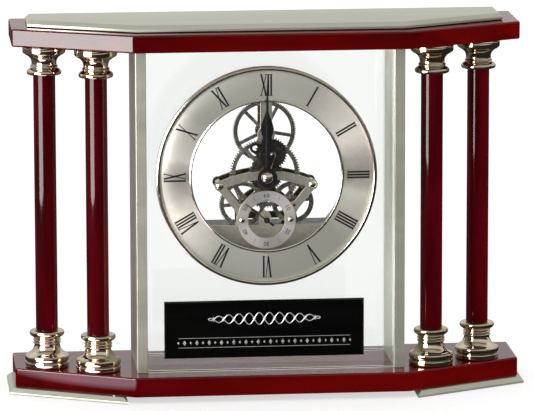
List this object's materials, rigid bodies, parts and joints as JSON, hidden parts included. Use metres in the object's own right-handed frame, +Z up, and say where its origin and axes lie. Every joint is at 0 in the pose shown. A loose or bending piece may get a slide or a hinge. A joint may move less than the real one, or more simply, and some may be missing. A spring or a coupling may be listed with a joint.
{
  "type": "mantel clock",
  "caption": "Two-board desk clock with turned columns, a glass box and an open skeleton movement behind a ring dial.",
  "frame": {"origin": "centre of the clock in plan, on the surface that the feet stand on", "axes": "+X to the right as seen from the front, +Y from the front to the back, +Z up"},
  "size_m": [0.26, 0.0688, 0.1882],
  "materials": {
    "lacquered_wood": "deep red high-gloss lacquer",
    "lacquered_columns": "deep red high-gloss lacquer",
    "foam": "black adhesive foam",
    "satin_nickel": "satin nickel",
    "screw_steel": "zinc-plated steel",
    "polished_nickel": "polished warm nickel",
    "clear_glass": "clear polished glass",
    "black_plate": "satin black lacquered plate",
    "polished_trim": "polished nickel",
    "spun_dial": "circular spun satin silver",
    "case_black": "dark moulded plastic",
    "rubber": "black rubber",
    "satin_bridge": "satin silver plate",
    "bronze_plate": "dark bronze plated",
    "board_green": "green circuit board",
    "copper_wire": "enamelled copper wire",
    "stator_iron": "bare iron laminate",
    "cell_wrap": "printed wrap with no words",
    "wheel_metal": "nickel-plated brass, satin",
    "train_metal": "satin silver",
    "arbor_steel": "turned steel",
    "black_hands": "black lacquered",
    "motion_work": "dark moulded wheel"
  },
  "bodies": {
    "case": {"base_board": "lacquered_wood", "top_board": "lacquered_wood", "top_plate_pad": "foam", "top_plate": "satin_nickel", "left_foot": "satin_nickel", "right_foot": "satin_nickel", "foot_screws": "screw_steel", "outer_left_column": "lacquered_columns", "inner_left_column": "lacquered_columns", "inner_right_column": "lacquered_columns", "outer_right_column": "lacquered_columns", "outer_left_column_foot": "polished_nickel", "inner_left_column_foot": "polished_nickel", "inner_right_column_foot": "polished_nickel", "outer_right_column_foot": "polished_nickel", "outer_left_column_head": "polished_nickel", "inner_left_column_head": "polished_nickel", "inner_right_column_head": "polished_nickel", "outer_right_column_head": "polished_nickel", "tie_rods": "screw_steel", "rod_nuts": "screw_steel", "left_side_plate": "satin_nickel", "right_side_plate": "satin_nickel", "side_plate_screws": "screw_steel", "front_pane": "clear_glass", "rear_pane": "clear_glass", "name_plate": "black_plate", "bezel": "polished_trim", "hour_ring": "spun_dial", "inner_rim": "polished_trim", "clock_case": "case_black", "case_gasket": "rubber", "front_bridge": "satin_bridge", "upper_bar": "satin_bridge", "rear_plate": "bronze_plate", "pillars": "satin_bridge", "bridge_screws": "polished_trim", "seconds_ring": "spun_dial", "chord_plate": "satin_bridge", "drive_housing": "case_black", "circuit_board": "board_green", "motor_coil": "copper_wire", "motor_stator": "stator_iron", "battery": "cell_wrap", "battery_contacts": "stator_iron"},
    "minute": {"centre_arbor": "arbor_steel", "centre_wheel": "wheel_metal", "minute_hand": "black_hands", "hand_cap": "polished_trim", "setting_knob": "case_black"},
    "hour": {"hour_wheel": "motion_work", "hour_hand": "black_hands"},
    "motion": {"minute_wheel": "motion_work"},
    "third": {"third_wheel": "train_metal", "third_arbor": "train_metal"},
    "second": {"seconds_arbor": "train_metal", "second_hand": "black_hands"},
    "upper": {"upper_wheel": "train_metal"},
    "side": {"side_wheel": "train_metal"}
  },
  "joints": [
    {"name": "minute_turn", "type": "hinge", "parent": "case", "child": "minute", "pos_m": [-0.0022, -0.01555, 0.1119], "axis": [0, 1, 0], "continuous": true},
    {"name": "hour_turn", "type": "hinge", "parent": "case", "child": "hour", "pos_m": [-0.0022, -0.01555, 0.1119], "axis": [0, 1, 0], "continuous": true},
    {"name": "motion_turn", "type": "hinge", "parent": "case", "child": "motion", "pos_m": [0.00052, -0.01555, 0.12204], "axis": [0, 1, 0], "continuous": true},
    {"name": "third_turn", "type": "hinge", "parent": "case", "child": "third", "pos_m": [-0.01346, -0.01555, 0.09616], "axis": [0, 1, 0], "continuous": true},
    {"name": "second_turn", "type": "hinge", "parent": "case", "child": "second", "pos_m": [-0.0022, -0.01555, 0.0897], "axis": [0, 1, 0], "continuous": true},
    {"name": "upper_turn", "type": "hinge", "parent": "case", "child": "upper", "pos_m": [-0.0022, -0.01555, 0.13254], "axis": [0, 1, 0], "continuous": true},
    {"name": "side_turn", "type": "hinge", "parent": "case", "child": "side", "pos_m": [0.01177, -0.01555, 0.09671], "axis": [0, 1, 0], "continuous": true}
  ],
  "couplings": [
    {"joint": "hour_turn", "follows": "minute_turn", "ratio": 0.083333},
    {"joint": "motion_turn", "follows": "minute_turn", "ratio": -0.33333},
    {"joint": "third_turn", "follows": "minute_turn", "ratio": -8},
    {"joint": "second_turn", "follows": "minute_turn", "ratio": 60},
    {"joint": "upper_turn", "follows": "minute_turn", "ratio": -5},
    {"joint": "side_turn", "follows": "minute_turn", "ratio": -5}
  ]
}
